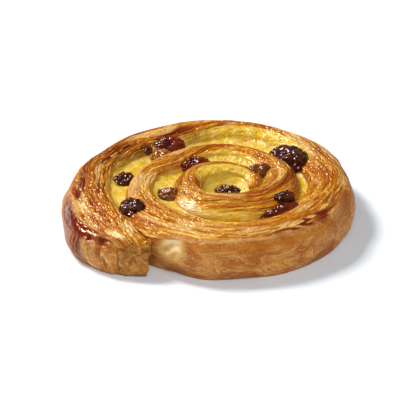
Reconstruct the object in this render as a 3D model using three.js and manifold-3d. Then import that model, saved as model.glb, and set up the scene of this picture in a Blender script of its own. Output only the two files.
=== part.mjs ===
// A raisin and custard pastry: one flat strip of laminated dough rolled up with custard and
// raisins, cut into a slice, laid flat and baked. Lengths are millimetres, +Z is up, the
// tail of the strip lies at the front left and the strip winds inwards clockwise from above.
import * as THREE from "three";
import { mergeVertices } from "three/addons/utils/BufferGeometryUtils.js";
import Module from "manifold-3d";

const { clamp, degToRad, lerp, smoothstep } = THREE.MathUtils;

// A place along the strip counts in turns from the tail.
const STEPS_PER_TURN = 50;
const STRIP_STEPS = 135;
const TAIL_ANGLE = degToRad(-120);

// Distance of the strip's outer face from the middle at every eighth of a turn. One row is
// one turn, and it starts at the tail; the last row is the edge of the eye.
const FACE_RADIUS = [
  [62.0, 66.9, 63.3, 61.6, 60.4, 59.4, 55.8, 51.2],
  [50.2, 41.5, 37.8, 36.5, 37.0, 36.5, 33.8, 29.5],
  [26.0, 21.5, 18.5, 18.0, 19.0, 20.0, 12.6, 7.8],
  [8.3, 6.5, 5.0, 4.5, 7.0, 11.5, 13.0],
].flat();

// Height of the strip's crest above the table, and where it runs across the strip's width:
// 0 is the inner face, 1 the outer one.
const CREST_HEIGHT = [
  [15.8, 18.6, 19.4, 19.8, 19.8, 19.6, 19.0, 18.7],
  [18.7, 19.8, 20.3, 20.3, 20.3, 20.3, 20.3, 20.8],
  [21.3, 21.6, 21.6, 21.6, 21.2, 19.8, 17.5],
].flat();
const CREST_PLACE = [
  [0.5, 0.45, 0.45, 0.55, 0.6, 0.55, 0.5, 0.5],
  [0.5, 0.5, 0.5, 0.5, 0.5, 0.5, 0.45, 0.42],
  [0.45, 0.5, 0.5, 0.5, 0.5, 0.5, 0.5],
].flat();

// The custard fills the seam between two turns: a thin leaf below, whose top stands at this
// height from the first place that the tail covers, and pools where it was spread thick. A
// pool reaches out over the turn outside it and in over the turn inside it.
const CUSTARD_LEVEL = [
  [14.6, 15.2, 14.3, 14.0, 13.6, 14.2, 14.8, 15.0],
  [15.8, 16.0, 16.2, 16.2, 16.2, 16.5, 16.5],
].flat();
const POOLS = [
  { at: 1.22, spread: 0.19, outward: 6.5, inward: 0.8, rise: 1.0 },
  { at: 1.47, spread: 0.17, outward: 8.5, inward: 1.0, rise: 2.2 },
  { at: 1.645, spread: 0.07, outward: 1.6, inward: 0.6, rise: 0.2 },
  { at: 1.88, spread: 0.1, outward: 0.5, inward: 0.5, rise: 0.2 },
  { at: 2.15, spread: 0.18, outward: 6.5, inward: 0.8, rise: 1.0 },
  { at: 2.44, spread: 0.18, outward: 6.0, inward: 0.8, rise: 1.2 },
];
const LEAF_HALF = 0.55;
const THIN_SHARE = 0.4;
const LEAF_OPENS = [1.02, 1.14];
const LEAF_CLOSES = [2.64, 2.74];
const POOL_DEPTH = 6;
const CUSTARD_BOTTOM = 0.8;
const MENISCUS = 0.4;
const BAND_STEPS = [51, 137];
const GAP = 0.3;

// The eye of the roll, coated with custard that runs up the back.
const REACHES_EYE = [1.66, 1.76];
const EYE_STEPS = [136, 185];
const EYE_RINGS = 3;
const EYE_FLOOR = 13.2;
const EYE_RIM = 17.0;
const EYE_RIM_TILT = 2.4;
const EYE_BOTTOM = [4.0, -3.0];

// The baked outer wall, swollen above a narrower base.
const RIM_HEIGHT = [15.0, 15.5, 16.5, 17.0, 17.0, 17.0, 17.0, 17.0, 17.0];
const RIM_INSET = 3.4;
const BULGE_HEIGHT = 7;
const BASE_INSET = 2.3;
const WALL_LUMP = 0.35;
const CORNER = { at: 0.085, spread: 0.06, outward: 2.6 };

const TOP_POINTS = 16;
const EDGE_LIP = 0.4;
const STRAND_COUNT = 4;
const STRAND_DEPTH = 0.45;
const FLAKIEST = { at: 0.22, spread: 0.2 };

// The tail is cut on the slant and torn. Low down it stands off the turn inside it, whose
// foot is drawn in there.
const TAIL_SLANT = 0.037;
const TAIL_LENGTH = 0.12;
const TORN_DEPTH = 0.9;
const NOTCH = { length: 0.07, height: 15, depth: 4.2 };
const UNDERCUT = { at: 1.0, spread: 0.07, height: 7, slope: 4, depth: 3 };

const DOUGH_LOOK = { color: 0xc8873a, roughness: 0.42, metalness: 0 };
const CUSTARD_LOOK = { color: 0xd8b43e, roughness: 0.3, metalness: 0 };
const RAISIN_LOOK = { color: 0x35150f, roughness: 0.35, metalness: 0 };
const SULTANA_LOOK = { color: 0x8a4a1c, roughness: 0.3, metalness: 0 };

const FOLD_DEPTH = 0.1;
const BED_GAP = 0.4;
// A dried grape lies at a clock hour seen from above, at a distance from the middle and a
// height; it has a length, width and height, a turn about the upright and some folds.
const RAISINS = {
  raisin_plump: { hour: 10.98, radius: 42.4, z: 15.6, size: [15, 10, 9], yaw: 8, folds: 3, seed: 1 },
  raisin_tucked: { hour: 10.52, radius: 45.0, z: 15.2, size: [6, 5.5, 5.5], yaw: 30, folds: 4, seed: 2 },
  raisin_golden: { hour: 10.62, radius: 37.4, z: 15.0, size: [10, 7, 6.5], yaw: 20, folds: 3, seed: 6 },
  raisin_left: { hour: 9.31, radius: 40.4, z: 15.0, size: [10, 9, 7.5], yaw: 20, folds: 4, seed: 3 },
  raisin_black: { hour: 7.98, radius: 41.3, z: 16.4, size: [13, 11, 10], yaw: -40, folds: 5, seed: 4 },
  raisin_inner_left: { hour: 8.29, radius: 22.4, z: 16.0, size: [10.5, 7.5, 7], yaw: -10, folds: 5, seed: 5 },
  raisin_red: { hour: 10.98, radius: 19.3, z: 16.4, size: [14, 8, 8.5], yaw: 25, folds: 3, seed: 6 },
  raisin_inner_right: { hour: 1.97, radius: 20.0, z: 17.2, size: [12.5, 7, 7], yaw: 15, folds: 4, seed: 7 },
  raisin_eye: { hour: 3.4, radius: 4.0, z: 13.0, size: [12, 7, 7], yaw: 0, folds: 4, seed: 8 },
  raisin_big: { hour: 1.75, radius: 39.5, z: 15.4, size: [20.5, 16.5, 12], yaw: -38, folds: 4, seed: 9 },
  raisin_small: { hour: 3.9, radius: 30.6, z: 18.0, size: [9, 6.5, 7], yaw: 20, folds: 5, seed: 10 },
  raisin_long: { hour: 4.38, radius: 33.8, z: 15.2, size: [21, 7.4, 7.8], yaw: 36, folds: 3, seed: 11 },
};

// A smooth curve through values that stand an eighth of a turn apart.
function along(values, turns) {
  const place = clamp(turns * 8, 0, values.length - 1);
  const i = Math.min(Math.floor(place), values.length - 2);
  const f = place - i;
  const before = values[Math.max(i - 1, 0)];
  const here = values[i];
  const next = values[i + 1];
  const after = values[Math.min(i + 2, values.length - 1)];
  const bend = 2 * before - 5 * here + 4 * next - after;
  const twist = 3 * (here - next) + after - before;
  return here + 0.5 * f * (next - before + f * (bend + f * twist));
}

// A smooth swelling, 1 at its middle and 0 beyond its spread.
function swelling(turns, { at, spread }) {
  const away = Math.abs(turns - at) / spread;
  return away < 1 ? Math.cos(0.5 * Math.PI * away) ** 2 : 0;
}

function pooled(turns, what) {
  return POOLS.reduce((sum, pool) => sum + pool[what] * swelling(turns, pool), 0);
}

function onPlan(turns, radius, z) {
  const angle = TAIL_ANGLE - 2 * Math.PI * turns;
  return [radius * Math.cos(angle), radius * Math.sin(angle), z];
}

// The custard's top at one side of the seam: its height, and its reach from the seam, where
// the leaf is thin under the tail and thins again towards the eye.
function custardEdge(turns, side) {
  const opening = lerp(THIN_SHARE, 1, smoothstep(turns, ...LEAF_OPENS));
  const fade = opening - (1 - THIN_SHARE) * smoothstep(turns, ...LEAF_CLOSES);
  const level = along(CUSTARD_LEVEL, turns - 1);
  return {
    level: side === "outward" ? level + pooled(turns, "rise") : level,
    reach: (LEAF_HALF + pooled(turns, side)) * fade,
    leaf: LEAF_HALF * fade,
  };
}

function custardReach(turns, side, z) {
  const { level, reach, leaf } = custardEdge(turns, side);
  return lerp(leaf, reach, Math.max(0, 1 + (z - level) / POOL_DEPTH));
}

function eyeRim(turns) {
  return EYE_RIM + EYE_RIM_TILT * Math.sin(TAIL_ANGLE - 2 * Math.PI * turns);
}

// Height of the dough's edge over the custard, or over the eye, on the strip's inner side.
function innerEdgeHeight(turns) {
  const eye = smoothstep(turns, ...REACHES_EYE);
  return lerp(custardEdge(turns + 1, "outward").level, eyeRim(turns), eye) + EDGE_LIP;
}

// 0 where the strip's outer side is the open wall, 1 once the tail lies over it.
function hiddenShare(turns) {
  return smoothstep(turns, 0.97, 1.02);
}

function outerEdgeHeight(turns) {
  const hidden = custardEdge(turns, "inward").level + EDGE_LIP;
  return lerp(along(RIM_HEIGHT, turns), hidden, hiddenShare(turns));
}

// Radius of the strip's outer side at a height: a swollen wall on the open turn, and the
// custard's side once the strip is covered.
function outerRadius(turns, z) {
  const face = along(FACE_RADIUS, turns);
  const rim = outerEdgeHeight(turns);
  const low = clamp((BULGE_HEIGHT - z) / BULGE_HEIGHT, 0, 1);
  const high = clamp((z - BULGE_HEIGHT) / (rim - BULGE_HEIGHT), 0, 1);
  const lump = WALL_LUMP * Math.sin(2 * Math.PI * (11 * turns + z / 17))
    + WALL_LUMP * Math.sin(2 * Math.PI * (5 * turns - z / 23) + 1)
    + CORNER.outward * swelling(turns, CORNER);
  const wall = face - BASE_INSET * low ** 2.2 - RIM_INSET * high ** 2 + lump;
  const side = lerp(wall, face - custardReach(turns, "inward", z) - GAP, hiddenShare(turns));
  const foot = clamp((UNDERCUT.height - z) / UNDERCUT.slope, 0, 1);
  return side - UNDERCUT.depth * foot * swelling(turns, UNDERCUT);
}

function innerRadius(turns, z) {
  const notch = NOTCH.depth * Math.max(0, 1 - turns / NOTCH.length)
    * Math.max(0, 1 - (z / NOTCH.height) ** 4);
  const seam = along(FACE_RADIUS, turns + 1);
  return seam + custardReach(turns + 1, "outward", z) + GAP + notch;
}

// The laminations that show on top as strands along the strip.
function strands(turns, across) {
  const drift = 0.35 * Math.sin(2 * Math.PI * 1.7 * turns) + 0.6 * turns;
  const flaky = 1 + swelling(turns, FLAKIEST);
  const coated = smoothstep(turns, ...REACHES_EYE) * (1 - smoothstep(across, 0.2, 0.6));
  const edge = Math.sin(Math.PI * across) ** 0.5 * (1 - 0.8 * coated);
  const wave = Math.sin(2 * Math.PI * (STRAND_COUNT * across + drift));
  const fine = Math.sin(2 * Math.PI * (2.3 * across - 3.3 * turns));
  return STRAND_DEPTH * flaky * edge * (wave + 0.5 * fine);
}

// Height of the top across the strip: a round shoulder on each side of the crest.
function topHeight(turns, across) {
  const crest = along(CREST_HEIGHT, turns);
  const place = along(CREST_PLACE, turns);
  const inside = across < place;
  const edge = inside ? innerEdgeHeight(turns) : outerEdgeHeight(turns);
  const away = inside ? 1 - across / place : (across - place) / (1 - place);
  const round = (1 - away ** 1.8) ** 0.6;
  return lerp(Math.min(edge, crest - 0.8), crest, round) + strands(turns, across);
}

// Heights down one side of a cut, from the edge of the top to the table. A covered side
// bends where the pool beside it ends.
function sideHeights(edge, level, covered) {
  const knee = level - POOL_DEPTH;
  const bent = [knee, 0.75 * knee, 0.5 * knee, 0.25 * knee, 0];
  return bent.map((z, i) => lerp(edge * (1 - (i + 1) / bent.length), z, covered));
}

// One cut across the strip as a closed loop of points: over the top from the inner edge,
// down the outer side, along the flat base and up the inner side.
function section(turns) {
  const slant = TAIL_SLANT * Math.max(0, 1 - turns / TAIL_LENGTH) ** 2;
  const tip = turns + slant;
  const innerEdge = topHeight(turns, 0);
  const outerEdge = topHeight(tip, 1);
  const inner = innerRadius(turns, innerEdge);
  const outer = outerRadius(tip, outerEdge);
  const points = [];
  for (let i = 0; i <= TOP_POINTS; i++) {
    const across = i / TOP_POINTS;
    const s = turns + slant * across;
    points.push(onPlan(s, lerp(inner, outer, across), topHeight(s, across)));
  }
  const outerLevel = custardEdge(tip, "inward").level;
  for (const z of sideHeights(outerEdge, outerLevel, hiddenShare(tip))) {
    points.push(onPlan(tip, outerRadius(tip, z), z));
  }
  const innerKnee = custardEdge(turns + 1, "outward").level - POOL_DEPTH;
  const base = lerp(innerRadius(turns, 0), outerRadius(tip, 0), 0.5);
  points.push(onPlan(turns + 0.5 * slant, base, 0));
  for (const z of [0, 0.5 * innerKnee, innerKnee]) {
    points.push(onPlan(turns, innerRadius(turns, z), z));
  }
  return points;
}

function middleOf(loop) {
  return [0, 1, 2].map((k) => loop.reduce((sum, p) => sum + p[k], 0) / loop.length);
}

// A smaller copy of an end loop, pushed out of the end unevenly, as torn layers are.
function tornLoop(loop, neighbour, share, push) {
  const middle = middleOf(loop);
  const beyond = middleOf(neighbour);
  const out = new THREE.Vector3(middle[0] - beyond[0], middle[1] - beyond[1], 0).normalize();
  return loop.map((p, i) => p.map((v, k) =>
    lerp(middle[k], v, share) + out.getComponent(k) * push * Math.sin(1.7 * i) ** 2));
}

// A closed body through equal loops of points, each end closed over a smaller loop. Two
// bodies side by side run their faces' diagonals the same way when one of them is crossed.
function loft(loops, tear, crossed) {
  const count = loops[0].length;
  const torn = [0.4, 0.75].map((share) => tornLoop(loops[0], loops[1], share, tear));
  const last = tornLoop(loops.at(-1), loops.at(-2), 0.5, 0);
  const rings = [...torn, ...loops, last];
  const points = rings.flat();
  const start = points.push(middleOf(torn[0])) - 1;
  const end = points.push(middleOf(last)) - 1;
  const faces = [];
  for (let i = 0; i < count; i++) {
    const j = (i + 1) % count;
    for (let r = 0; r + 1 < rings.length; r++) {
      const a = r * count + i;
      const b = r * count + j;
      if (crossed) faces.push(a, a + count, b + count, a, b + count, b);
      else faces.push(a, a + count, b, b, a + count, b + count);
    }
    const top = (rings.length - 1) * count;
    faces.push(start, i, j, end, top + j, top + i);
  }
  return { points, faces };
}

const wasm = await Module();
wasm.setup();

function solidFrom({ points, faces }) {
  const vertProperties = new Float32Array(points.flat());
  const triVerts = new Uint32Array(faces);
  return new wasm.Manifold(new wasm.Mesh({ numProp: 3, vertProperties, triVerts }));
}

function doughStrip() {
  const loops = [];
  for (let k = 0; k <= STRIP_STEPS; k++) loops.push(section(k / STEPS_PER_TURN));
  return solidFrom(loft(loops, TORN_DEPTH, false));
}

// The custard between two turns: a leaf that opens into the pools, hollow on top.
function custardBand() {
  const loops = [];
  for (let k = BAND_STEPS[0]; k <= BAND_STEPS[1]; k++) {
    const turns = k / STEPS_PER_TURN;
    const face = along(FACE_RADIUS, turns);
    const side = (name, sign) => {
      const { level } = custardEdge(turns, name);
      return [CUSTARD_BOTTOM, level - POOL_DEPTH, level].map((z) =>
        onPlan(turns, face + sign * custardReach(turns, name, z), z));
    };
    const inward = side("inward", -1);
    const outward = side("outward", 1);
    const hollow = middleOf([inward[2], outward[2]]);
    hollow[2] -= MENISCUS;
    loops.push([...inward, hollow, ...outward.reverse()]);
  }
  return solidFrom(loft(loops, 0, true));
}

// The custard in the eye: a plug with a bowl in its top.
function custardEye() {
  const rim = [];
  for (let k = EYE_STEPS[0]; k <= EYE_STEPS[1]; k++) {
    const turns = k / STEPS_PER_TURN;
    const z = eyeRim(turns);
    const radius = along(FACE_RADIUS, turns) + custardReach(turns, "outward", z);
    rim.push(onPlan(turns, radius, z));
  }
  const count = rim.length;
  const floor = [...EYE_BOTTOM, EYE_FLOOR];
  const points = rim.map((p) => [p[0], p[1], CUSTARD_BOTTOM]);
  for (let r = 0; r < EYE_RINGS; r++) {
    const share = 1 - r / EYE_RINGS;
    const part = [share, share, share ** 1.6];
    points.push(...rim.map((p) => p.map((v, k) => lerp(floor[k], v, part[k]))));
  }
  const bowl = points.push(floor) - 1;
  const foot = points.push([...EYE_BOTTOM, CUSTARD_BOTTOM]) - 1;
  const faces = [];
  for (let i = 0; i < count; i++) {
    const j = (i + 1) % count;
    for (let r = 0; r < EYE_RINGS; r++) {
      const a = r * count + i;
      const b = r * count + j;
      faces.push(a, a + count, b, b, a + count, b + count);
    }
    const top = EYE_RINGS * count;
    faces.push(bowl, top + j, top + i, foot, i, j);
  }
  return solidFrom({ points, faces });
}

// An egg shrunk into folds along its length, or the plain larger egg that it has pressed
// into the dough and the custard.
function raisinSolid({ hour, radius, z, size, yaw, folds, seed }, bed) {
  const sphere = new THREE.IcosahedronGeometry(1, bed ? 1 : 2);
  sphere.deleteAttribute("uv");
  sphere.deleteAttribute("normal");
  const ball = mergeVertices(sphere, 1e-4);
  const up = new THREE.Vector3(0, 0, 1);
  const place = new THREE.Vector3(radius, 0, z).applyAxisAngle(up, degToRad(90 - 30 * hour));
  const v = new THREE.Vector3();
  const points = [];
  for (let i = 0; i < ball.attributes.position.count; i++) {
    v.fromBufferAttribute(ball.attributes.position, i).normalize();
    const fold = Math.sin(folds * Math.atan2(v.y, v.z) + 2.1 * v.x + seed)
      + 0.6 * Math.sin(5 * v.x + 2 * seed);
    const shrink = bed ? 1 : 1 - FOLD_DEPTH * Math.abs(fold);
    const skin = bed ? BED_GAP : 0;
    v.set(...size.map((length, k) => v.getComponent(k) * (0.5 * length * shrink + skin)));
    v.applyAxisAngle(up, degToRad(yaw)).add(place);
    points.push(v.toArray());
  }
  return solidFrom({ points, faces: Array.from(ball.index.array) });
}

let dough = doughStrip();
let custard = custardBand().add(custardEye());
const raisins = new Map();
for (const [name, raisin] of Object.entries(RAISINS)) {
  const bed = raisinSolid(raisin, true);
  dough = dough.subtract(bed);
  custard = custard.subtract(bed);
  raisins.set(name, raisinSolid(raisin, false));
}

const pastry = new THREE.Group();
pastry.name = "raisin_custard_pastry";

function addPiece(name, solid, look) {
  const mesh = solid.getMesh();
  const position = new Float32Array(mesh.numVert * 3);
  for (let i = 0; i < mesh.numVert; i++) {
    const from = i * mesh.numProp;
    position.set(mesh.vertProperties.subarray(from, from + 3), i * 3);
  }
  const geometry = new THREE.BufferGeometry();
  geometry.setAttribute("position", new THREE.BufferAttribute(position, 3));
  geometry.setIndex(new THREE.BufferAttribute(mesh.triVerts, 1));
  geometry.computeVertexNormals();
  const piece = new THREE.Mesh(geometry, new THREE.MeshStandardMaterial(look));
  piece.name = name;
  pastry.add(piece);
}

addPiece("dough", dough, DOUGH_LOOK);
addPiece("custard", custard, CUSTARD_LOOK);
for (const [name, solid] of raisins) {
  addPiece(name, solid, name === "raisin_golden" ? SULTANA_LOOK : RAISIN_LOOK);
}

const bounds = new THREE.Box3().setFromObject(pastry);
const centre = bounds.getCenter(new THREE.Vector3());
pastry.position.set(-centre.x, -centre.y, -bounds.min.z);

export default pastry;
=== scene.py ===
import math

import bpy
import numpy as np
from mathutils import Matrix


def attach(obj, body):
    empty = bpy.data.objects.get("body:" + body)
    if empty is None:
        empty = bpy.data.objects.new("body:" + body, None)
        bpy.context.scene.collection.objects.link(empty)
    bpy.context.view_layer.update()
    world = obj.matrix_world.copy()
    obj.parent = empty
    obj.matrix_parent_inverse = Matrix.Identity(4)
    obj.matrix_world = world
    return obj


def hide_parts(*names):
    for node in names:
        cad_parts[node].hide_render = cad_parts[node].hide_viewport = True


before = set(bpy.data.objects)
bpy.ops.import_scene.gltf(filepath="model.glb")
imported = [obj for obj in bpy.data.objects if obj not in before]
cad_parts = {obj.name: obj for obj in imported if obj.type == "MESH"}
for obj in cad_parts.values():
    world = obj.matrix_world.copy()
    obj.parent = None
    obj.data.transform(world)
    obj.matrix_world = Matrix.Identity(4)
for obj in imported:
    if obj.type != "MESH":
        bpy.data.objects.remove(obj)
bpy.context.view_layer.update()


# The dough: one strip of laminated, buttered dough, rolled up flat with its filling, cut
# into a slice, laid on the cut and baked. The cut opens its layers into strands along the
# top, the sheet's own face is the smooth baked wall, and the tail ends in torn layers.

# Lengths are millimetres until a mesh is made; a place along the strip counts in turns.
MILLIMETRE = 0.001
SPIRAL_MIDDLE = (3.8927, -4.9331)
TAIL_ANGLE = math.radians(-120)
STRIP_TURNS = 2.7

# One value for each eighth of a turn: how far out the sheet's own face lies, how high the
# crest stands and where across the top, the custard from the second turn on, the open rim.
FACE_RADIUS = np.array([
    62.0, 66.9, 63.3, 61.6, 60.4, 59.4, 55.8, 51.2,
    50.2, 41.5, 37.8, 36.5, 37.0, 36.5, 33.8, 29.5,
    26.0, 21.5, 18.5, 18.0, 19.0, 20.0, 12.6, 7.8,
    8.3, 6.5, 5.0, 4.5, 7.0, 11.5, 13.0])
CREST_HEIGHT = np.array([
    15.8, 18.6, 19.4, 19.8, 19.8, 19.6, 19.0, 18.7,
    18.7, 19.8, 20.3, 20.3, 20.3, 20.3, 20.3, 20.8,
    21.3, 21.6, 21.6, 21.6, 21.2, 19.8, 17.5])
CREST_PLACE = np.array([
    0.5, 0.45, 0.45, 0.55, 0.6, 0.55, 0.5, 0.5,
    0.5, 0.5, 0.5, 0.5, 0.5, 0.5, 0.45, 0.42,
    0.45, 0.5, 0.5, 0.5, 0.5, 0.5, 0.5])
CUSTARD_LEVEL = np.array([
    14.6, 15.2, 14.3, 14.0, 13.6, 14.2, 14.8, 15.0,
    15.8, 16.0, 16.2, 16.2, 16.2, 16.5, 16.5])
RIM_HEIGHT = np.array([15.0, 15.5, 16.5, 17.0, 17.0, 17.0, 17.0, 17.0, 17.0])

# Pools of custard: middle and spread in turns, reach outward and inward and rise.
POOLS = [
    (1.22, 0.19, 6.5, 0.8, 1.0),
    (1.47, 0.17, 8.5, 1.0, 2.2),
    (1.645, 0.07, 1.6, 0.6, 0.2),
    (1.88, 0.1, 0.5, 0.5, 0.2),
    (2.15, 0.18, 6.5, 0.8, 1.0),
    (2.44, 0.18, 6.0, 0.8, 1.2)]

# The leaf of custard between two turns, and the dough's lip over it and over its seam.
LEAF_HALF = 0.55
THIN_SHARE = 0.4
LEAF_OPENS = (1.02, 1.14)
LEAF_CLOSES = (2.64, 2.74)
POOL_DEPTH = 6.0
EDGE_LIP = 0.4
SEAM_CLOSED = 2.2
SEAM_LAP = 1.0
SEAM_AT = (0.03, 0.1)

REACHES_EYE = (1.66, 1.76)
EYE_RIM = 17.0
EYE_RIM_TILT = 2.4

# The swollen wall, its corner near the tail, the slanted tail and the hollows under it.
RIM_INSET = 3.4
BULGE_HEIGHT = 7.0
BASE_INSET = 2.3
WALL_LUMP = 0.35
CORNER_AT, CORNER_SPREAD, CORNER_OUTWARD = 0.085, 0.06, 2.6
TAIL_SLANT = 0.037
TAIL_LENGTH = 0.12
NOTCH_LENGTH, NOTCH_HEIGHT, NOTCH_DEPTH = 0.07, 15.0, 4.2
UNDERCUT_AT, UNDERCUT_SPREAD, UNDERCUT_DEPTH = 1.0, 0.07, 3.0
UNDERCUT_HEIGHT, UNDERCUT_SLOPE = 7.0, 4.0

# Where the raisins lie in the dough and the custard: clock hour, distance from the middle,
# height, three lengths, turn in degrees, folds, seed and skin.
RAISINS = {
    "raisin_plump": (10.98, 42.4, 15.6, (15, 10, 9), 8, 3, 1, "red"),
    "raisin_tucked": (10.52, 45.0, 15.2, (6, 5.5, 5.5), 30, 4, 2, "dark"),
    "raisin_golden": (10.62, 37.4, 15.0, (10, 7, 6.5), 20, 3, 6, "golden"),
    "raisin_left": (9.31, 40.4, 15.0, (10, 9, 7.5), 20, 4, 3, "dark"),
    "raisin_black": (7.98, 41.3, 16.4, (13, 11, 10), -40, 5, 4, "dark"),
    "raisin_inner_left": (8.29, 22.4, 16.0, (10.5, 7.5, 7), -10, 5, 5, "brown"),
    "raisin_red": (10.98, 19.3, 16.4, (14, 8, 8.5), 25, 3, 6, "red"),
    "raisin_inner_right": (1.97, 20.0, 17.2, (12.5, 7, 7), 15, 4, 7, "brown"),
    "raisin_eye": (3.4, 4.0, 13.0, (12, 7, 7), 0, 4, 8, "dark"),
    "raisin_big": (1.75, 39.5, 15.4, (20.5, 16.5, 12), -38, 4, 9, "dark"),
    "raisin_small": (3.9, 30.6, 18.0, (9, 6.5, 7), 20, 5, 10, "dark"),
    "raisin_long": (4.38, 33.8, 15.2, (21, 7.4, 7.8), 36, 3, 11, "red"),
}
ROOF = 1.6
SNUG = 0.92


def bedded(points):
    """Dough or custard that would lie in a raisin, or in a thin roof over it, sinks to the
    underside of the raisin's egg."""
    points = points.copy()
    for hour, radius, z, size, yaw, *_ in RAISINS.values():
        bearing, turn = math.radians(90 - 30 * hour), math.radians(yaw)
        off = points - [radius * math.cos(bearing), radius * math.sin(bearing), z]
        x = off[..., 0] * math.cos(turn) + off[..., 1] * math.sin(turn)
        y = off[..., 1] * math.cos(turn) - off[..., 0] * math.sin(turn)
        flat = (2 * x / (SNUG * size[0])) ** 2 + (2 * y / (SNUG * size[1])) ** 2
        half = 0.5 * SNUG * size[2] * np.sqrt(np.clip(1 - flat, 0, 1))
        inside = (flat < 1) & (off[..., 2] > -half) & (off[..., 2] < half + ROOF)
        points[..., 2] = np.where(inside, z - half, points[..., 2])
    return points


STRIP_STATIONS = 760
INNER_POINTS = 12
TOP_POINTS = 72
WALL_POINTS = 26
BASE_POINTS = 3


def ramp(value, low, high):
    """An S-curve from 0 at low to 1 at high."""
    share = np.clip((value - low) / (high - low), 0, 1)
    return share * share * (3 - 2 * share)


def between(low, high, share):
    """Low at share 0, high at share 1, straight between."""
    return low + (high - low) * share


def along(values, turns):
    """A cubic curve through values that stand an eighth of a turn apart."""
    place = np.clip(turns * 8, 0, len(values) - 1)
    i = np.minimum(place.astype(int), len(values) - 2)
    f = place - i
    before, here = values[np.maximum(i - 1, 0)], values[i]
    after, later = values[i + 1], values[np.minimum(i + 2, len(values) - 1)]
    bend = 2 * before - 5 * here + 4 * after - later
    twist = 3 * (here - after) + later - before
    return here + 0.5 * f * (after - before + f * (bend + f * twist))


def swelling(turns, at, spread):
    """A squared cosine, 1 at its middle and 0 beyond its spread."""
    return np.cos(0.5 * np.pi * np.clip(np.abs(turns - at) / spread, 0, 1)) ** 2


def pooled(turns, column):
    """The sum over the pools of one of their numbers times their swelling."""
    return sum(pool[column] * swelling(turns, pool[0], pool[1]) for pool in POOLS)


def custard_level(turns, outward):
    """Height of the custard at its edge, with the pools' rise on the outward side."""
    rise = pooled(turns, 4) if outward else 0
    return along(CUSTARD_LEVEL, turns - 1) + rise


def custard_reach(turns, outward, z):
    """How far the custard reaches from the seam: a thin leaf below, the pool at its top."""
    opening = between(THIN_SHARE, 1, ramp(turns, *LEAF_OPENS))
    fade = opening - (1 - THIN_SHARE) * ramp(turns, *LEAF_CLOSES)
    widest = (LEAF_HALF + pooled(turns, 2 if outward else 3)) * fade
    share = np.maximum(0, 1 + (z - custard_level(turns, outward)) / POOL_DEPTH)
    return between(LEAF_HALF * fade, widest, share)


def eye_rim(turns):
    """Height of the eye's edge, which a sine round it tilts towards the front."""
    return EYE_RIM + EYE_RIM_TILT * np.sin(TAIL_ANGLE - 2 * np.pi * turns)


def inner_edge(turns):
    """Height of the dough over the custard, or over the eye, on its inner side."""
    eye = ramp(turns, *REACHES_EYE)
    edge = between(custard_level(turns + 1, True), eye_rim(turns), eye) + EDGE_LIP
    return edge + SEAM_CLOSED * swelling(turns, *SEAM_AT)


def covered(turns):
    """0 where the outer side is the open wall, 1 once the tail lies over it."""
    return ramp(turns, 0.97, 1.02)


def outer_edge(turns):
    """Height of the top's outer edge: the open rim, or the custard once it is covered."""
    hidden = custard_level(turns, False) + EDGE_LIP
    hidden = hidden + 0.5 * SEAM_CLOSED * swelling(turns - 1, *SEAM_AT)
    return between(along(RIM_HEIGHT, turns), hidden, covered(turns))


def outer_radius(turns, z):
    """The swollen wall on the open turn, and the custard's side under the next turn."""
    face = along(FACE_RADIUS, turns)
    low = np.clip((BULGE_HEIGHT - z) / BULGE_HEIGHT, 0, 1)
    high = np.clip((z - BULGE_HEIGHT) / (outer_edge(turns) - BULGE_HEIGHT), 0, 1)
    lump = (WALL_LUMP * np.sin(2 * np.pi * (11 * turns + z / 17))
            + WALL_LUMP * np.sin(2 * np.pi * (5 * turns - z / 23) + 1)
            + CORNER_OUTWARD * swelling(turns, CORNER_AT, CORNER_SPREAD))
    wall = face - BASE_INSET * low ** 2.2 - RIM_INSET * high ** 2 + lump
    side = between(wall, face - custard_reach(turns, False, z), covered(turns))
    foot = np.clip((UNDERCUT_HEIGHT - z) / UNDERCUT_SLOPE, 0, 1)
    return side - UNDERCUT_DEPTH * foot * swelling(turns, UNDERCUT_AT, UNDERCUT_SPREAD)


def inner_radius(turns, z):
    """The next turn's face, moved out by the custard and by the notch under the tail."""
    notch = (NOTCH_DEPTH * np.maximum(0, 1 - turns / NOTCH_LENGTH)
             * np.maximum(0, 1 - (z / NOTCH_HEIGHT) ** 4))
    return along(FACE_RADIUS, turns + 1) + custard_reach(turns + 1, True, z) + notch


def top_height(turns, across):
    """A round shoulder on each side of the crest that runs along the strip."""
    crest = along(CREST_HEIGHT, turns)
    place = along(CREST_PLACE, turns)
    inside = across < place
    edge = np.where(inside, inner_edge(turns), outer_edge(turns))
    away = np.where(inside, 1 - across / place, (across - place) / (1 - place))
    seam = swelling(np.where(inside, turns, turns - 1), *SEAM_AT)
    rounded = (1 - away ** (1.8 + 4 * seam)) ** (0.6 + 0.4 * seam)
    return between(np.minimum(edge, crest - 0.8), crest, rounded)


GRAINS = np.random.default_rng(5).random((256, 256))


def grain(u, v, seed=0):
    """Smooth noise: random values at whole u and v, joined by an S-curve in each way."""
    u, v = np.broadcast_arrays(u + 31.7 * seed, v + 17.3 * seed)
    i, j = np.floor(u).astype(int), np.floor(v).astype(int)
    f, g = ramp(u - i, 0, 1), ramp(v - j, 0, 1)
    near = between(GRAINS[i % 256, j % 256], GRAINS[(i + 1) % 256, j % 256], f)
    far = between(GRAINS[i % 256, (j + 1) % 256], GRAINS[(i + 1) % 256, (j + 1) % 256], f)
    return between(near, far, g)


def ridges(u, v, seed=0):
    """Noise folded at its middle, 1 along sharp crests."""
    return 1 - np.abs(2 * grain(u, v, seed) - 1)


def patch(turns, across, at, spread, low, high, soft=0.12):
    """1 on a stretch of the strip between two places across it, fading at its edges."""
    return (swelling(turns, at, spread) ** 0.5
            * ramp(across, low - soft, low + soft) * (1 - ramp(across, high - soft, high + soft)))


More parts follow.
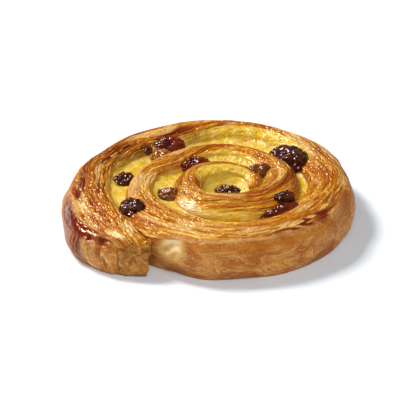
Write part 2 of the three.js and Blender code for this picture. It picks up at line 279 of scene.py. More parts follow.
def patches(turns, across, rows):
    """A sum of patches, each times its share."""
    return sum(share * patch(turns, across, *where) for share, *where in rows)


def even_stations(last, count):
    """Places along the strip at equal distances measured along its middle."""
    turns = np.linspace(0, last, 4000)
    middle = 0.5 * (along(FACE_RADIUS, turns) + along(FACE_RADIUS, turns + 1))
    length = np.concatenate([[0], np.cumsum(0.5 * (middle[1:] + middle[:-1]) * np.diff(turns))])
    length *= 2 * np.pi
    distance = np.linspace(0, length[-1], count)
    return np.interp(distance, length, turns)[:, None], distance[:, None]


def on_plan(turns, radius, z):
    """Points whose angle runs clockwise from the tail, at a radius and a height."""
    angle = TAIL_ANGLE - 2 * np.pi * turns
    return np.stack(np.broadcast_arrays(radius * np.cos(angle), radius * np.sin(angle), z), -1)


def outward_of(grid):
    """Unit normals of a grid of points whose second way closes on itself."""
    down = np.gradient(grid, axis=0)
    round_ = np.roll(grid, -1, axis=1) - np.roll(grid, 1, axis=1)
    normal = np.cross(down, round_)
    return normal / np.maximum(np.linalg.norm(normal, axis=-1, keepdims=True), 1e-9)


def tube_faces(rows, count):
    """Quads between the loops of a tube, each loop of count points."""
    row, i = np.meshgrid(np.arange(rows - 1), np.arange(count), indexing="ij")
    a, b = row * count + i, row * count + (i + 1) % count
    return np.stack([a, a + count, b + count, b], -1).reshape(-1, 4)


def piece(name, points, faces, marks, material, slot, *nodes):
    """A mesh piece in the frame: points in millimetres about the spiral's middle, faces of
    three or four corners in arrays of their own, and a value or a vector on each point."""
    mesh = bpy.data.meshes.new(name)
    points = (points + np.array([*SPIRAL_MIDDLE, 0])) * MILLIMETRE
    corners = np.concatenate([f.ravel() for f in faces])
    sizes = np.concatenate([np.full(len(f), f.shape[1]) for f in faces])
    mesh.vertices.add(len(points))
    mesh.vertices.foreach_set("co", points.ravel())
    mesh.loops.add(len(corners))
    mesh.loops.foreach_set("vertex_index", corners.astype(np.int32))
    mesh.polygons.add(len(sizes))
    mesh.polygons.foreach_set("loop_start", (np.cumsum(sizes) - sizes).astype(np.int32))
    mesh.polygons.foreach_set("use_smooth", np.ones(len(sizes), bool))
    mesh.update(calc_edges=True)
    mesh.validate()
    for mark, values in marks.items():
        values = np.asarray(values, np.float32)
        kind, key = ("FLOAT", "value") if values.ndim == 1 else ("FLOAT_VECTOR", "vector")
        mesh.attributes.new(mark, kind, "POINT").data.foreach_set(key, values.ravel())
    made = bpy.data.objects.new(name, mesh)
    bpy.context.collection.objects.link(made)
    made.data.materials.append(material)
    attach(made, "root")
    if nodes:
        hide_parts(*nodes)
    return made


class Wire:
    """A shader socket; an expression on it adds Math nodes to its material."""

    def __init__(self, look, socket):
        self.look = look
        self.socket = socket

    def math(self, operation, first, second, clamp=False):
        """One step of arithmetic on two sockets or numbers."""
        settings = {"operation": operation, "use_clamp": clamp}
        return self.look.node("ShaderNodeMath", settings, {0: first, 1: second})

    def __add__(self, other):
        return self.math("ADD", self, other)

    def __sub__(self, other):
        return self.math("SUBTRACT", self, other)

    def __rsub__(self, other):
        return self.math("SUBTRACT", other, self)

    def __mul__(self, other):
        return self.math("MULTIPLY", self, other)

    __radd__ = __add__
    __rmul__ = __mul__

    def size(self):
        """The value without its sign."""
        return self.math("ABSOLUTE", self, 0)

    def held(self):
        """Kept between 0 and 1."""
        return self.math("ADD", self, 0, clamp=True)

    def from_to(self, low, high):
        """0 at low, 1 at high, straight between."""
        limits = {"Value": self, "From Min": low, "From Max": high}
        return self.look.node("ShaderNodeMapRange", {"clamp": True}, limits)


class Look:
    """One material's nodes."""

    def __init__(self, name, **constants):
        self.material = bpy.data.materials.new(name)
        self.material.use_nodes = True
        self.tree = self.material.node_tree
        self.shader = self.tree.nodes["Principled BSDF"]
        self.set(**constants)

    def set(self, **inputs):
        """Feeds the shader's sockets, named with underscores for spaces."""
        for name, value in inputs.items():
            self.feed(self.shader.inputs[name.replace("_", " ")], value)

    def feed(self, socket, value):
        """Joins a wire to a socket, or sets the socket to a constant."""
        if isinstance(value, Wire):
            self.tree.links.new(value.socket, socket)
        else:
            socket.default_value = value

    def node(self, kind, settings=(), inputs=(), output=0):
        """A new node of a kind, set and fed, as the wire of one of its outputs."""
        made = self.tree.nodes.new(kind)
        for name, value in dict(settings).items():
            setattr(made, name, value)
        for key, value in dict(inputs).items():
            self.feed(made.inputs[key], value)
        return Wire(self, made.outputs[output])

    def mark(self, name):
        """A value that the mesh carries on its points."""
        return self.node("ShaderNodeAttribute", {"attribute_name": name}, output=2)

    def mark_vector(self, name):
        """A vector that the mesh carries on its points."""
        return self.node("ShaderNodeAttribute", {"attribute_name": name}, output=1)

    def place(self):
        """The point itself, in metres."""
        return self.node("ShaderNodeTexCoord", output=3)

    def stretched(self, vector, *scale):
        """A vector times a scale of its own in each direction."""
        return self.node("ShaderNodeVectorMath", {"operation": "MULTIPLY"}, {0: vector, 1: scale})

    def noise(self, vector, scale=1.0, detail=3.0, roughness=0.55, distortion=0.0):
        """Clouds of 0 to 1 about 0.5, finer as the scale rises."""
        return self.node("ShaderNodeTexNoise", (), {
            "Vector": vector, "Scale": scale, "Detail": detail,
            "Roughness": roughness, "Distortion": distortion})

    def mix(self, share, first, second):
        """The first colour at share 0, the second at share 1."""
        settings = {"data_type": "RGBA", "blend_type": "MIX"}
        return self.node("ShaderNodeMix", settings, {0: share, 6: first, 7: second}, output=2)

    def bump(self, height, depth):
        """Normals of a relief whose height of 1 is a depth in millimetres."""
        inputs = {"Height": height, "Distance": depth * MILLIMETRE, "Strength": 1.0}
        return self.node("ShaderNodeBump", (), inputs)


CUSTARD_YELLOW = (0.61, 0.375, 0.008, 1)
CUSTARD_PALE = (0.71, 0.49, 0.11, 1)
CUSTARD_BROWNED_AND_SHADE = (0.34, 0.12, 0.006, 1)
BUTTER_GOLD = (0.60, 0.25, 0.010, 1)
LAYER_CREAM = (0.86, 0.54, 0.12, 1)
LAYER_TOASTED = (0.48, 0.135, 0.003, 1)
LAYER_BROWN_AND_SHADE = (0.32, 0.062, 0.002, 1)
LAYER_SCORCHED_AND_SHADE = (0.14, 0.015, 0.001, 1)
CRUST_TAN = (0.51, 0.2, 0.036, 1)
CRUST_BROWN = (0.36, 0.1, 0.009, 1)
CRUST_PALE = (0.76, 0.47, 0.16, 1)
FLAKE_CREAM_AND_HIGHLIGHT = (0.84, 0.66, 0.38, 1)
CARAMEL_AND_SHADE_DARK = (0.14, 0.012, 0.0005, 1)
STRAND_WANDER = 7.0
DOUGH_BUMP = 0.9


def dough_look():
    """Cream, gold and brown strands on the cut, with painted shade in the hollows between
    them, mottled tan on the wall, custard where it was smeared, dark caramel where the glaze
    ran and burnt, painted shade in the folds beside the tail and painted highlights in a few
    places."""
    look = Look("baked_dough", Specular_IOR_Level=0.6, Specular_Tint=(1, 0.66, 0.4, 1))
    strip = look.mark_vector("strip")
    cut = look.mark("cut")
    smear = look.mark("smear")
    toast_and_shade = look.mark("toast_and_shade")
    pale = look.mark("pale")
    browned = look.mark("browned")
    relief = look.mark("relief")

    # Layers: tones that run along the strip, darker in seams and in cracks, and darker between
    # strands, where the dough is browner and painted shade fills the hollows of the relief.
    wander = look.noise(look.stretched(strip, 0.035, 0.12, 0.1), detail=2.0)
    bent = look.node("ShaderNodeVectorMath", {"operation": "ADD"}, {
        0: strip, 1: look.node("ShaderNodeCombineXYZ", (), {1: wander * STRAND_WANDER})})
    fine = look.noise(look.stretched(bent, 0.05, 0.85, 0.4), detail=3.0, roughness=0.6)
    broad = look.noise(look.stretched(bent, 0.02, 0.3, 0.3), detail=1.0)
    seams = look.noise(look.stretched(bent, 0.025, 0.5, 0.3), detail=2.0)
    flecks = look.noise(look.stretched(strip, 0.25, 0.8, 0.4), detail=2.0, roughness=0.6)
    tone = (fine * 0.4 + broad * 0.3 + flecks * 0.3).from_to(0.42, 0.59) - browned * 0.25
    layers = look.mix(tone.from_to(0.0, 0.5), LAYER_TOASTED, BUTTER_GOLD)
    layers = look.mix(tone.from_to(0.5, 1.0), layers, LAYER_CREAM)
    seam = 1 - (seams - 0.5).size().from_to(0.005, 0.04)
    crack = 1 - (fine - 0.46).size().from_to(0.0, 0.035)
    # The hollow share is painted shade, taken from how low the strand relief lies.
    hollow = 1 - relief.from_to(0.3, 0.62)
    dark = (seam * 0.7 + crack * 0.45 + hollow * 0.6) * (browned * 0.45 + 0.85)
    dark = (dark + look.mark("line") * (browned * 0.5 + 0.4)).held()
    layers = look.mix(dark, layers, look.mix(browned.held(), LAYER_BROWN_AND_SHADE, LAYER_SCORCHED_AND_SHADE))

    # Wall: brown and tan patches with dark veins, pale streaks and a darker band at the rim.
    mottle = look.noise(look.stretched(strip, 0.09, 0.12, 0.2), detail=4.0, roughness=0.55,
                        distortion=0.6)
    veins = look.noise(look.stretched(bent, 0.1, 0.17, 0.3), detail=3.0, roughness=0.5,
                       distortion=2.2)
    crust = look.mix(mottle.from_to(0.42, 0.58), CRUST_BROWN, CRUST_TAN)
    streak = 1 - (veins - 0.5).size().from_to(0.0, 0.025)
    second = 1 - (veins - 0.58).size().from_to(0.0, 0.02)
    deep = 1 - (veins - 0.44).size().from_to(0.0, 0.035)
    crust = look.mix(deep * 0.55, crust, LAYER_BROWN_AND_SHADE)
    crust = look.mix((streak + second) * mottle.from_to(0.34, 0.5) * 0.6, crust, CRUST_PALE)
    crust = look.mix(look.mark("band") * 0.6, crust, LAYER_TOASTED)

    # Over both: pale flakes and painted highlights, smeared custard, and burnt glaze with painted
    # shade in some hollows.
    colour = look.mix(cut, crust, layers)
    # Pale carries pale flakes and painted highlights: a glare, a bright rim line, the crests of
    # the folds beside the tail and the lightened torn end; the palest take the cream.
    colour = look.mix((pale * 0.95).held(), colour, CRUST_PALE)
    colour = look.mix((pale - 0.9).held(), colour, FLAKE_CREAM_AND_HIGHLIGHT)
    blot = look.noise(look.stretched(strip, 0.22, 0.5, 0.3), detail=3.0)
    coat = (smear * 2.0 - blot * 0.9).held()
    blobs = look.noise(look.stretched(strip, 0.3, 0.4, 0.3), detail=3.0)
    custard = look.mix(blot.from_to(0.36, 0.54), BUTTER_GOLD, CUSTARD_YELLOW)
    custard = look.mix(blobs.from_to(0.42, 0.62), custard, CUSTARD_PALE)
    colour = look.mix(coat, colour, custard)
    # The caramel share also carries painted shade: in the hollows of the folds beside the tail
    # and between the strands on the left slope and the back crest.
    burnt = (toast_and_shade * 1.7 - blot * 0.7).held()
    colour = look.mix(burnt, colour, CARAMEL_AND_SHADE_DARK)

    # Glaze in patches on the cut, and a fine relief that custard and caramel smooth over.
    wet = look.noise(look.stretched(strip, 0.12, 0.3, 0.3), detail=3.0)
    wet = (wet + browned * 0.1).from_to(0.38, 0.5)
    glazed = (cut * wet + burnt + coat * 0.4).held()
    crumbs = look.noise(look.stretched(strip, 0.38, 0.8, 0.5), detail=1.0)
    height = fine * 0.1 + crumbs * (cut + 0.6) + veins * (1 - cut) * 1.5
    height = height * (1 - (coat * 0.85 + burnt * 0.75).held()) + blobs * coat * 1.2
    look.set(Base_Color=colour, Roughness=0.55 - glazed * 0.43,
             Normal=look.bump(height, DOUGH_BUMP))
    return look.material


def dough_loops(turns):
    """One closed loop of points for each station: up the inner side, over the top from the
    inner edge to the outer one, down the wall, and back along the base."""
    slant = TAIL_SLANT * np.maximum(0, 1 - turns / TAIL_LENGTH) ** 2
    tip = turns + slant
    inner_top, outer_top = inner_edge(turns), outer_edge(tip)
    rising = np.linspace(0, 1, INNER_POINTS, endpoint=False)
    across = np.linspace(0, 1, TOP_POINTS)
    falling = np.linspace(0, 1, WALL_POINTS + 1)[1:] ** 1.1
    under = np.linspace(0, 1, BASE_POINTS + 2)[1:-1]
    z = inner_top * rising
    inner = on_plan(turns, inner_radius(turns, z), z)
    low = inner_radius(turns, inner_top) - SEAM_LAP * swelling(turns, *SEAM_AT)
    high = outer_radius(tip, outer_top) + SEAM_LAP * swelling(turns - 1, *SEAM_AT)
    spread = turns + slant * across
    top = on_plan(spread, between(low, high, across), top_height(spread, across))
    z = outer_top * (1 - falling)
    wall = on_plan(tip, outer_radius(tip, z), z)
    shares = 1 - under
    base = on_plan(turns + slant * shares,
                   between(inner_radius(turns, 0), outer_radius(tip, 0), shares), 0 * shares)
    return np.concatenate([inner, top, wall, base], axis=1)


# Where the open wall goes under the tail, where the cut frays out at the rim, and how large
# the strands are and the folds beside the tail.
WALL_ENDS = (1.0, 1.04)
CUT_FRAYS_OUT = (0.86, 0.95)
LEAF_PITCH = 2.1
STRAND_DEPTH, STRAND_LEVEL = 0.95, 0.65
TAIL_FOLD_DEPTH, TAIL_FOLD_LEVEL = 1.3, 0.6

# Custard smeared on the cut, then pale flakes there, and painted highlights on its top alone:
# a glare on the third turn and a bright line along the front rim. Each row gives share, middle
# and spread in turns, from where to where across, and how softly it ends.
SMEARED = [
    (1.0, 0.5, 0.12, -0.3, 0.42),
    (0.4, 0.37, 0.08, -0.3, 0.3),
    (0.9, 1.45, 0.14, -0.3, 0.17),
    (1.3, 2.42, 0.32, -0.3, 0.42),
    (0.5, 1.2, 0.16, -0.3, 0.1),
    (0.6, 0.2, 0.2, -0.3, 0.12),
    (0.7, 1.9, 0.14, 0.85, 1.4)]
FLAKES = [
    (1.7, 0.028, 0.022, 0.62, 0.82, 0.05),
    (1.0, 0.117, 0.028, 0.64, 0.79, 0.04),
    (0.5, 0.075, 0.02, 0.76, 0.88, 0.04),
    (0.45, 2.45, 0.3, -0.3, 0.4)]
# Painted highlights: a glare on the third turn and a bright line along the front rim.
TOP_HIGHLIGHTS = [
    (1.5, 2.01, 0.055, 0.8, 1.02, 0.05),
    (0.45, 0.9, 0.1, 0.95, 1.05, 0.03)]
PALE_LOBE = (0.98, 0.024)

# Places where the glaze ran and burnt, and the folds beside the tail, where painted shade
# darkens their hollows.
TAIL_CORNER = (0.09, 0.08, 0.93, 2.0, 0.05)
FRONT_RIM = (0.785, 0.1, 0.7, 0.98, 0.06)
LEFT_CRAGS = (0.24, 0.08, 0.28, 0.5, 0.06)
LEFT_BLISTER = (0.15, 0.035, 0.64, 0.84, 0.05)
LEFT_LINES = (0.2, 0.12, 0.5, 0.85, 0.1)
LEFT_SLOPE = (0.29, 0.09, -0.3, 0.24, 0.1)
BACK_CREST = (0.46, 0.14, 0.5, 0.62, 0.08)
TAIL_FOLD_SHADE = (0.045, 0.06)
LEFT_SIDE = (0.2, 0.2)

turns, distance = even_stations(STRIP_TURNS, STRIP_STATIONS)
loops = dough_loops(turns)
step = np.linalg.norm(np.diff(loops, axis=1, prepend=loops[:, :1]), axis=-1)
girth = np.cumsum(step, axis=1)
girth -= girth[:, INNER_POINTS:INNER_POINTS + 1]
part = np.concatenate([
    np.zeros(INNER_POINTS), np.linspace(0, 1, TOP_POINTS),
    np.ones(WALL_POINTS + BASE_POINTS)])[None, :]
number = np.arange(loops.shape[1])[None, :]
on_top = ((number >= INNER_POINTS) & (number < INNER_POINTS + TOP_POINTS)).astype(float)
down_wall = np.clip((number - INNER_POINTS - TOP_POINTS) / WALL_POINTS, 0, 1)
open_wall = (number >= INNER_POINTS + TOP_POINTS) * (1 - ramp(turns, *WALL_ENDS))

# Where the layers lie open, and their strands: leaves with one sharp edge, and two sizes of
# crests that follow them.
rim_frays = 0.06 * (grain(distance / 9, girth / 40, 3) - 0.5)
cut = (on_top * (1 - (1 - covered(turns)) * ramp(part + rim_frays, *CUT_FRAYS_OUT))
       + (1 - on_top) * ramp(turns, *WALL_ENDS) * (number > INNER_POINTS))
wander = 5.0 * grain(distance / 34, girth / 11, 1) + 2.0 * grain(distance / 13, girth / 5, 2)
flaky = 1 + swelling(turns, 0.2, 0.24) + 0.3 * swelling(turns, 0.45, 0.3)
laid = girth + wander + 3.0 * swelling(turns, 0.25, 0.2) * grain(distance / 11, girth / 6, 15)
phase = laid / LEAF_PITCH + 1.6 * grain(distance / 40, laid / 6, 10)
leaf = phase - np.floor(phase)
leaf_share = ramp(grain(distance / 12, laid / 3, 13), 0.2, 0.8)
strands = (0.42 * leaf_share * leaf ** 1.3 * (1 - ramp(leaf, 0.8, 1.0))
           + 0.38 * ridges(distance / 22, laid / 1.5, 4)
           + 0.30 * ridges(distance / 9, laid / 0.9, 5))
smear = np.clip(patches(turns, part, SMEARED), 0, 1) * on_top

# Relief: strands on the cut, soft lumps in the custard, blisters on the wall, and upright
# folds beside the tail.
bubbles = ramp(grain(distance / 5.5, girth / 4.5, 7), 0.45, 0.95)
folds = ridges((distance + 0.3 * girth) / 2.6, girth / 12, 19)
relief = (cut * (1 - 0.9 * smear) * flaky * STRAND_DEPTH * (strands - STRAND_LEVEL)
          + 0.5 * smear * (grain(distance / 3.5, girth / 2.5, 8) - 0.5)
          + open_wall * (0.45 * bubbles + 0.35 * (ridges(distance / 16, girth / 2.4, 9) - 0.6))
          + TAIL_FOLD_DEPTH * swelling(turns, 0.035, 0.055) * open_wall
          * (folds - TAIL_FOLD_LEVEL))
relief *= ramp(number, INNER_POINTS - 2, INNER_POINTS + 2) * (1 - (down_wall >= 1))

# Caramel with painted shade in some hollows, pale flakes with painted highlights, the darker
# band below the rim, dark lines, and how far it baked.
scorch = patch(turns, part, *TAIL_CORNER)
runs = ridges(distance / 2.6 + girth / 14, girth / 16, 20)
rim_spots = ramp(ridges(distance / 5 + girth / 4, girth / 2.2, 21), 0.25, 0.8)
crags = 0.2 + ramp(ridges(distance / 4, girth / 2, 22), 0.5, 0.9)
blister = ramp(grain(distance / 2.5, girth / 1.5, 24), 0.3, 0.7)
burnt_lines = ramp(ridges(distance / 7, laid / 2.2, 23), 0.6, 0.95)
toast_and_shade = (scorch * (1 - ramp(down_wall, 0.06, 0.24)) * (0.6 + 0.5 * runs)
         + 0.7 * scorch * ramp(down_wall, 0.0, 0.2) * (1 - ramp(down_wall, 0.4, 0.95)) * runs
         # Painted shade in the hollows of the upright folds beside the tail.
         + 0.55 * swelling(turns, *TAIL_FOLD_SHADE) * open_wall * ramp(0.75 - folds, 0, 0.5)
         + 0.95 * patch(turns, part, *FRONT_RIM) * rim_spots
         + 0.7 * patch(turns, part, *LEFT_CRAGS) * crags
         + 0.8 * patch(turns, part, *LEFT_BLISTER) * blister
         + 0.5 * patch(turns, part, *LEFT_LINES) * burnt_lines
         # On the left slope and the back crest the caramel is heaviest where the strands lie low:
         # there it is painted shade in the hollows as well as caramel.
         + 0.45 * patch(turns, part, *LEFT_SLOPE) * (1.4 - strands)
         + 0.6 * patch(turns, part, *BACK_CREST) * (1.2 - strands)
         + 0.5 * swelling(turns, *LEFT_SIDE) * cut * ramp(strands, 0.6, 0.8))
lobe_flakes = 0.4 + 0.9 * ramp(ridges(distance / 3 - girth / 5, girth / 3, 16), 0.3, 0.8)
pale = (patches(turns, part, FLAKES) + patches(turns, part, TOP_HIGHLIGHTS) * on_top
        # A painted highlight on the crests of the folds beside the tail.
        + 0.8 * swelling(turns, 0.035, 0.05) * open_wall * ramp(folds, 0.8, 0.95)
        + 1.5 * swelling(turns, *PALE_LOBE) * open_wall * (1 - ramp(down_wall, 0.2, 0.6))
        * lobe_flakes
        + 0.6 * cut * ramp(grain(distance / 14, laid / 3.4, 17), 0.68, 0.85))
rim_band = open_wall * ramp(down_wall, 0.02, 0.06) * (1 - ramp(down_wall, 0.1, 0.3))
lines = ramp(ridges(distance / 38, laid / 4.5, 18), 0.86, 0.97) * cut
browned = (0.75 * swelling(turns, 0.22, 0.3) + 0.3 * swelling(turns, 0.65, 0.2)
           + 0.6 * patch(turns, part, 0.38, 0.09, 0.0, 0.5)
           - 0.25 * swelling(turns, 0.93, 0.2) + 0.3 * ramp(turns, 1.1, 1.35)) * cut
loops = loops + outward_of(loops) * relief[..., None]
loops[..., 2] = np.clip(loops[..., 2], 0, None)
loops = bedded(loops)

# The tail's torn end: the last cut's loop shrinks to a point over ragged flakes.
TEAR_RINGS = 22
TEAR_DEPTH = 2.0
TAIL_ROUNDING = 6.0
CRUMB_ALONG = 14.0


def rounded_tail(loops, distance):
    """The last loops before the torn end draw in towards the middle of their base."""
    short = np.clip(1 - distance / TAIL_ROUNDING, 0, 1)[..., None] ** 2
    foot = loops.mean(1, keepdims=True) * [1, 1, 0.25]
    dents = grain(loops[..., 0] / 2.6, loops[..., 2] / 2.2, 14)[..., None]
    return between(loops, foot, short * (0.06 + 0.3 * dents))


def closed_end(loop, beyond, rings, depth, seed):
    """Loops that shrink a cut to its middle, pushed out along the strip by ridged noise."""
    middle = loop.mean(0)
    out = (middle - beyond.mean(0)) * [1, 1, 0]
    out /= np.linalg.norm(out)
    share = (1 - np.arange(1, rings + 1) / rings)[:, None, None]
    made = between(middle, loop[None], share)
    side = made @ np.cross(out, [0, 0, 1])
    bulge = 1 - share[..., 0] ** 3
    flakes = (ridges(side / 1.9 + made[..., 2] / 5, made[..., 2] / 3.2, seed)
              + 0.6 * ridges(side / 1.1, made[..., 2] / 1.4, seed + 1) - 0.5)
    made = made + out * (depth * (0.5 * bulge + flakes * ramp(bulge, 0, 0.4)))[..., None]
    return made, np.stack([side * CRUMB_ALONG, made[..., 2], 1.1 * flakes - 0.15], -1)


loops = rounded_tail(loops, distance)
tail, crumb = closed_end(loops[0], loops[2], TEAR_RINGS, TEAR_DEPTH, 11)
tail, crumb = tail[::-1], crumb[::-1].reshape(-1, 3)
tuck, _ = closed_end(loops[-1], loops[-3], 6, 0.0, 12)
grid = np.concatenate([tail, loops, tuck])


def over_ends(values, at_tail=None):
    """A value on the loops, carried over both closed ends."""
    values = np.broadcast_to(values, loops.shape[:2])
    first = values[:1] if at_tail is None else np.full((1, values.shape[1]), at_tail)
    return np.concatenate([np.repeat(first, len(tail), 0), values,
                           np.repeat(values[-1:], len(tuck), 0)]).ravel()


strip = np.stack([over_ends(distance), over_ends(girth), 0 * over_ends(girth)], -1)
strip[:len(crumb)] = crumb * [1, 1, 0]
seen_relief = over_ends(strands, 0.5)
seen_relief[:len(crumb)] = crumb[:, 2]
# The torn end's pale share of 0.12 is painted light that brightens its face, which turns away
# from the lamp.
piece("dough_roll", grid.reshape(-1, 3), [tube_faces(len(grid), grid.shape[1])], {
    "strip": strip,
    "cut": over_ends(cut, 0.45), "smear": over_ends(smear, 0), "toast_and_shade": over_ends(toast_and_shade, 0.05),
    "pale": over_ends(pale, 0.12), "browned": over_ends(browned, 0.2),
    "line": over_ends(lines, 0), "band": over_ends(rim_band, 0), "relief": seen_relief,
}, dough_look(), "baked_dough", "dough")


# The custard: a yellow pastry cream spread over the sheet before it was rolled. It shows as
# pools between the turns, where it bubbled up and browned, and it lines the eye. Painted
# shade darkens it where it narrows into the seams and, with its browning, at its edges.
BAND_TURNS = (1.02, 2.74)
BAND_STATIONS = 620
BAND_ACROSS = 20
CUSTARD_BOTTOM = 0.8
TUCK_UNDER = 0.5
MENISCUS = 0.5
EYE_TURNS = (2.72, 3.72)
EYE_STATIONS = 160
EYE_RINGS = 30
EYE_MIDDLE = (4.0, -3.0)
EYE_FLOOR = 13.2
CUSTARD_BUMP = 0.45


def custard_look():
    """Lemon to pale yellow clouds with browned specks, wet and a little see-through, and darker
    where the band is browned and painted with shade.
    """
    look = Look("custard", IOR=1.42, Subsurface_Weight=0.25)
    look.set(Subsurface_Radius=(1.0, 0.6, 0.12), Subsurface_Scale=2.0 * MILLIMETRE)
    place = look.place()
    cloud = look.noise(place, scale=260.0, detail=3.0)
    speck = look.noise(place, scale=520.0, detail=4.0, roughness=0.65)
    colour = look.mix(cloud.from_to(0.35, 0.65), CUSTARD_YELLOW, CUSTARD_PALE)
    # Browned at the band's edges, with painted shade there and where it narrows into a seam.
    browned = (look.mark("toast_and_shade") * 1.5 + speck.from_to(0.58, 0.72) * 0.5 - 0.3).held()
    colour = look.mix(browned, colour, CUSTARD_BROWNED_AND_SHADE)
    look.set(Base_Color=colour, Roughness=0.1 + speck * 0.25,
             Normal=look.bump(speck + cloud * 1.5, CUSTARD_BUMP))
    return look.material


custard_material = custard_look()


def custard_band():
    """The leaf between two turns: up its inner side, over a hollow top, down its outer."""
    turns = np.linspace(*BAND_TURNS, BAND_STATIONS)[:, None]
    face = along(FACE_RADIUS, turns)
    across = np.linspace(0, 1, BAND_ACROSS)
    level_in, level_out = custard_level(turns, False), custard_level(turns, True)
    start = face - custard_reach(turns, False, level_in) - TUCK_UNDER
    end = face + custard_reach(turns, True, level_out) + TUCK_UNDER
    radius = between(start, end, across)
    wide = np.clip((end - start) / 5, 0, 1)
    lumps = (0.9 * (grain(turns * 55, radius / 3.2, 1) - 0.5)
             + 0.5 * (grain(turns * 130, radius / 1.5, 2) - 0.5))
    z = between(level_in, level_out, across ** 1.5) - MENISCUS * np.sin(np.pi * across)
    top = on_plan(turns, radius, z + wide * lumps + 0.25)
    knee = np.minimum(level_in, level_out) - POOL_DEPTH
    low = on_plan(turns, face - 0.3, np.full_like(turns, CUSTARD_BOTTOM))
    near = on_plan(turns, face - 0.6, knee)
    far = on_plan(turns, face + 0.6, knee)
    foot = on_plan(turns, face + 0.3, np.full_like(turns, CUSTARD_BOTTOM))
    loops = np.concatenate([low, near, top, far, foot], axis=1)
    # Darker at both edges, partly browned custard and partly painted shade against the dough, and
    # darker where the band narrows into a seam, which is painted shade.
    ends = np.clip(1 - wide, 0, 1) * 0.4 + 0.5 * (across ** 4 + (1 - across) ** 6)
    toast_and_shade = np.zeros(loops.shape[:2])
    toast_and_shade[:, 2:-2] = ends
    rows = [np.broadcast_to(loops[k].mean(0), (1, loops.shape[1], 3)) for k in (0, -1)]
    grid = np.concatenate([rows[0], loops, rows[1]])
    toast_and_shade = np.concatenate([toast_and_shade[:1], toast_and_shade, toast_and_shade[-1:]])
    return grid, toast_and_shade


def custard_eye():
    """A plug with a bowl in its top: the edge's loop shrinks to the bowl's floor."""
    turns = np.linspace(*EYE_TURNS, EYE_STATIONS, endpoint=False)
    rim_z = eye_rim(turns)
    radius = along(FACE_RADIUS, turns) + custard_reach(turns, True, rim_z) + TUCK_UNDER
    rim = on_plan(turns, radius, rim_z)
    share = (1 - np.arange(EYE_RINGS) / EYE_RINGS)[:, None, None]
    floor = np.array([*EYE_MIDDLE, EYE_FLOOR])
    bowl = between(floor, rim[None], np.concatenate([share, share, share ** 1.6], -1))
    lumps = 0.7 * (grain(bowl[..., 0] / 2.2, bowl[..., 1] / 2.2, 3) - 0.5)
    bowl[..., 2] += lumps * np.sin(np.pi * share[..., 0])
    skirt = rim * [1, 1, 0] + [0, 0, CUSTARD_BOTTOM]
    foot = np.broadcast_to([*EYE_MIDDLE, CUSTARD_BOTTOM], rim.shape)
    last = np.broadcast_to(floor, rim.shape)
    return np.concatenate([foot[None], skirt[None], bowl, last[None]])


pools, pools_toast_and_shade = custard_band()
pools = bedded(pools)
eye = bedded(custard_eye())
pool_points = len(pools) * pools.shape[1]
piece("custard_pools", np.concatenate([pools.reshape(-1, 3), eye.reshape(-1, 3)]),
      [tube_faces(len(pools), pools.shape[1]), tube_faces(len(eye), eye.shape[1]) + pool_points],
      {"toast_and_shade": np.concatenate([pools_toast_and_shade.ravel(), np.zeros(eye.shape[0] * eye.shape[1])])},
      custard_material, "custard", "custard")


# The raisins: dried grapes rolled up with the custard, their skins shrunk into folds and
# swollen again in the oven. One is a pale sultana, some are reddish at one end, a painted
# glow of light getting in through the skin.
RAISIN_ROWS = 96
RAISIN_ROUND = 128
WRINKLE = 1.35
WRINKLE_DEPTH = 1.4
RAISIN_BUMP = 0.35
SKINS = {
    "dark": ((0.006, 0.001, 0.001, 1), (0.08, 0.012, 0.003, 1)),
    "red": ((0.012, 0.001, 0.0005, 1), (0.13, 0.01, 0.001, 1)),
    "brown": ((0.03, 0.005, 0.001, 1), (0.22, 0.06, 0.012, 1)),
    "golden": ((0.13, 0.025, 0.002, 1), (0.38, 0.14, 0.015, 1)),
}
RED_FLESH_GLOW = (0.18, 0.019, 0.001, 1)


def raisin_look(kind):
    """Near black deep in the folds, which is painted shade, and riper on them, and clear red
    towards one end of some, a painted glow of light through the skin.
    """
    dark, ripe = SKINS[kind]
    look = Look("raisin_skin_" + kind, Specular_IOR_Level=0.8,
                Specular_Tint=(1, 0.8, 0.7, 1))
    place = look.place()
    bloom = look.noise(place, scale=420.0, detail=3.0)
    pucker = look.noise(place, scale=600.0, detail=0.0, distortion=1.0)
    # Near black deep in the folds is painted shade; the bloom varies the skin at random.
    share = (look.mark("fold") * 0.7 + bloom.from_to(0.4, 0.7) * 0.5).held()
    skin = look.mix(share, dark, ripe)
    if kind == "red":
        # The red flesh at one end is painted as a glow of light through the skin.
        skin = look.mix(look.mark("clear") * 0.8, skin, RED_FLESH_GLOW)
    look.set(Base_Color=skin, Roughness=0.06 + bloom * 0.2,
             Normal=look.bump(pucker, RAISIN_BUMP))
    return look.material


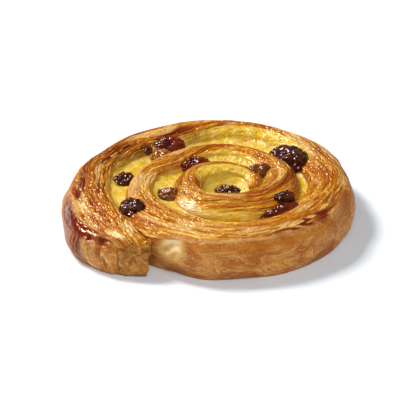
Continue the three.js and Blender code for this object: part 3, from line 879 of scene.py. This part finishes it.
def raisin_form(hour, radius, z, size, yaw, folds, seed):
    """An egg shrunk into folds: its radius drops by folded sines along and round it."""
    pole = np.linspace(0, np.pi, RAISIN_ROWS)[:, None]
    angle = np.linspace(0, 2 * np.pi, RAISIN_ROUND, endpoint=False)[None, :]
    x = np.cos(pole) + 0 * angle
    y, up = np.sin(pole) * np.cos(angle), np.sin(pole) * np.sin(angle)
    fold = np.sin(folds * angle + 2.1 * x + seed) + 0.6 * np.sin(5 * x + 2 * seed)
    crease = (np.abs(np.sin(4.3 * x + 3.1 * y - 2.2 * up + 1.7 * np.sin(3 * up + seed) + seed))
              * np.abs(np.sin(3.7 * y + 4.1 * up + 1.9 * np.sin(4 * x - seed) + 2 * seed)))
    span = angle * (size[1] + size[2]) / 4
    fine = ridges(x * size[0] / (2 * WRINKLE), span / WRINKLE, seed)
    fine = fine * ramp(np.minimum(angle, 2 * np.pi - angle), 0.0, 0.25)
    shrink = (0.99 - 0.1 * np.abs(fold) + 0.13 * (np.sqrt(crease) - 0.5)
              + WRINKLE_DEPTH / size[1] * (fine - 0.5))
    shrink = between(1 - 0.1 * np.abs(0.6 * np.sin(5 * x + 2 * seed)), shrink,
                     ramp(np.sin(pole), 0, 0.4))
    egg = np.stack([x * size[0], y * size[1], up * size[2]], -1) * 0.5 * shrink[..., None]
    turn = math.radians(yaw)
    turned = np.stack([egg[..., 0] * math.cos(turn) - egg[..., 1] * math.sin(turn),
                       egg[..., 0] * math.sin(turn) + egg[..., 1] * math.cos(turn),
                       egg[..., 2]], -1)
    bearing = math.radians(90 - 30 * hour)
    place = np.array([radius * math.cos(bearing), radius * math.sin(bearing), z])
    # The end that a painted red glow of light through the skin covers.
    clear = ramp(x - 0.35 * y + 0.5 * grain(x * 3, y * 3, seed), 0.1, 1.1)
    # How far the skin stands out of its folds, which the look turns into painted shade.
    return turned + place, np.clip((shrink - 0.82) / 0.2, 0, 1), clear


raisin_materials = {kind: raisin_look(kind) for kind in SKINS}
for node, (*numbers, kind) in RAISINS.items():
    points, fold, clear = raisin_form(*numbers)
    slot = "golden_raisin" if kind == "golden" else "raisin"
    piece(node + "_skin", points.reshape(-1, 3), [tube_faces(*points.shape[:2])],
          {"fold": fold.ravel(), "clear": clear.ravel()}, raisin_materials[kind], slot, node)


# The table: a white sheet under the pastry in a dim white room. A soft lamp at the back left
# makes the glints and the shadow; a large one in front lights the wall and isn't mirrored.
TABLE_HALF = 3.0
TABLE_WHITE = (0.87, 0.9, 0.92, 1)
ROOM_WHITE = (0.8, 0.95, 1.15, 1)
ROOM_STRENGTH = 0.12
CAMERA_PLACE = (-0.003947, -0.611133, 0.3594)
CAMERA_TILT = 60
LENS, SENSOR = 147.67, 36.0

table_mesh = bpy.data.meshes.new("table")
table_mesh.from_pydata([(-TABLE_HALF, -TABLE_HALF, 0), (TABLE_HALF, -TABLE_HALF, 0),
                        (TABLE_HALF, TABLE_HALF, 0), (-TABLE_HALF, TABLE_HALF, 0)],
                       [], [(0, 1, 2, 3)])
table = bpy.data.objects.new("table", table_mesh)
bpy.context.collection.objects.link(table)
table_look = Look("white_table", Base_Color=TABLE_WHITE, Roughness=0.9)
table.data.materials.append(table_look.material)

world = bpy.data.worlds.new("white_room")
world.use_nodes = True
room = world.node_tree.nodes["Background"]
room.inputs["Color"].default_value = ROOM_WHITE
room.inputs["Strength"].default_value = ROOM_STRENGTH
bpy.context.scene.world = world
bpy.context.scene.view_settings.view_transform = "Standard"


def soft_lamp(name, place, side, watts, mirrored=True):
    """A square lamp that faces the middle of the pastry, mirrored or not in wet spots."""
    light = bpy.data.lights.new(name, "AREA")
    light.shape = "SQUARE"
    light.size = side
    light.energy = watts
    lamp = bpy.data.objects.new(name, light)
    lamp.location = place
    lamp.visible_glossy = mirrored
    x, y, z = place
    lamp.rotation_euler = (math.atan2(math.hypot(x, y), z), 0, math.atan2(y, x) + math.pi / 2)
    bpy.context.collection.objects.link(lamp)


soft_lamp("window", (-0.53, 0.35, 0.73), 0.3, 12.2)
soft_lamp("front_fill", (0.25, -0.9, 0.9), 0.8, 10.6, mirrored=False)

camera_data = bpy.data.cameras.new("camera")
camera_data.lens = LENS
camera_data.sensor_width = SENSOR
camera = bpy.data.objects.new("camera", camera_data)
camera.location = CAMERA_PLACE
camera.rotation_euler = (math.radians(CAMERA_TILT), 0, 0)
bpy.context.collection.objects.link(camera)
bpy.context.scene.camera = camera
